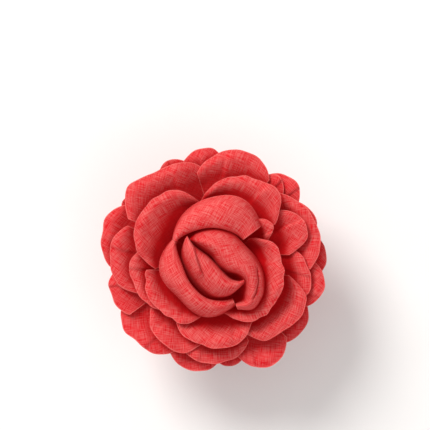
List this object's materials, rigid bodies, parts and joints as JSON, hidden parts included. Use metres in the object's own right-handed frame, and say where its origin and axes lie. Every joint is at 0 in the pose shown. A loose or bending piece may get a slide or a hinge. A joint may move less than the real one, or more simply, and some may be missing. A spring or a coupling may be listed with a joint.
{
  "type": "flower hair clip",
  "caption": "Spring claw hair clip with toothed jaws, a hinge pin and finger tabs, carrying a large layered fabric rose on its front jaw.",
  "frame": {"origin": "point of the rear jaw's flat outer face that lies under the middle of the flower", "axes": "+Z is the way the flower faces, away from the rear jaw's flat face; the hinge pin runs along Y on the +X side and the teeth are on the -X side"},
  "size_m": [0.0769, 0.0759, 0.0541],
  "materials": {
    "petal_cloth": "slub weave",
    "felt": "felt",
    "jaw_plastic": "satin",
    "spring_steel": "drawn wire",
    "glue": "cured glue"
  },
  "bodies": {
    "rear_jaw": {"rear_jaw": "jaw_plastic", "hinge_pin": "spring_steel", "torsion_spring": "spring_steel"},
    "front_jaw": {"front_jaw": "jaw_plastic", "glue_pad": "glue", "felt_backing": "felt", "inner_petal_3": "petal_cloth", "inner_petal_4": "petal_cloth", "middle_petal_1": "petal_cloth", "middle_petal_2": "petal_cloth", "middle_petal_3": "petal_cloth", "middle_petal_4": "petal_cloth", "middle_petal_5": "petal_cloth", "middle_petal_6": "petal_cloth", "middle_petal_7": "petal_cloth", "middle_petal_8": "petal_cloth", "large_petal_1": "petal_cloth", "large_petal_2": "petal_cloth", "large_petal_3": "petal_cloth", "large_petal_4": "petal_cloth", "large_petal_5": "petal_cloth", "large_petal_6": "petal_cloth", "large_petal_7": "petal_cloth", "outer_petal_1": "petal_cloth", "outer_petal_2": "petal_cloth", "outer_petal_3": "petal_cloth", "outer_petal_4": "petal_cloth", "outer_petal_5": "petal_cloth", "outer_petal_6": "petal_cloth", "outer_petal_7": "petal_cloth", "outer_petal_8": "petal_cloth", "outer_petal_9": "petal_cloth", "outer_petal_10": "petal_cloth", "outer_petal_11": "petal_cloth", "outer_petal_12": "petal_cloth", "outer_petal_13": "petal_cloth", "outer_petal_14": "petal_cloth", "bud_petal_1": "petal_cloth", "bud_petal_2": "petal_cloth", "inner_petal_1": "petal_cloth", "inner_petal_2": "petal_cloth"}
  },
  "joints": [
    {"name": "jaw_hinge", "type": "hinge", "parent": "rear_jaw", "child": "front_jaw", "pos_m": [0.016, 0, 0.012], "axis": [0, 1, 0], "range_deg": [0, 40], "stiffness_Nm_per_rad": 0.12, "springref_deg": -68.75, "deforming": ["torsion_spring"]}
  ]
}
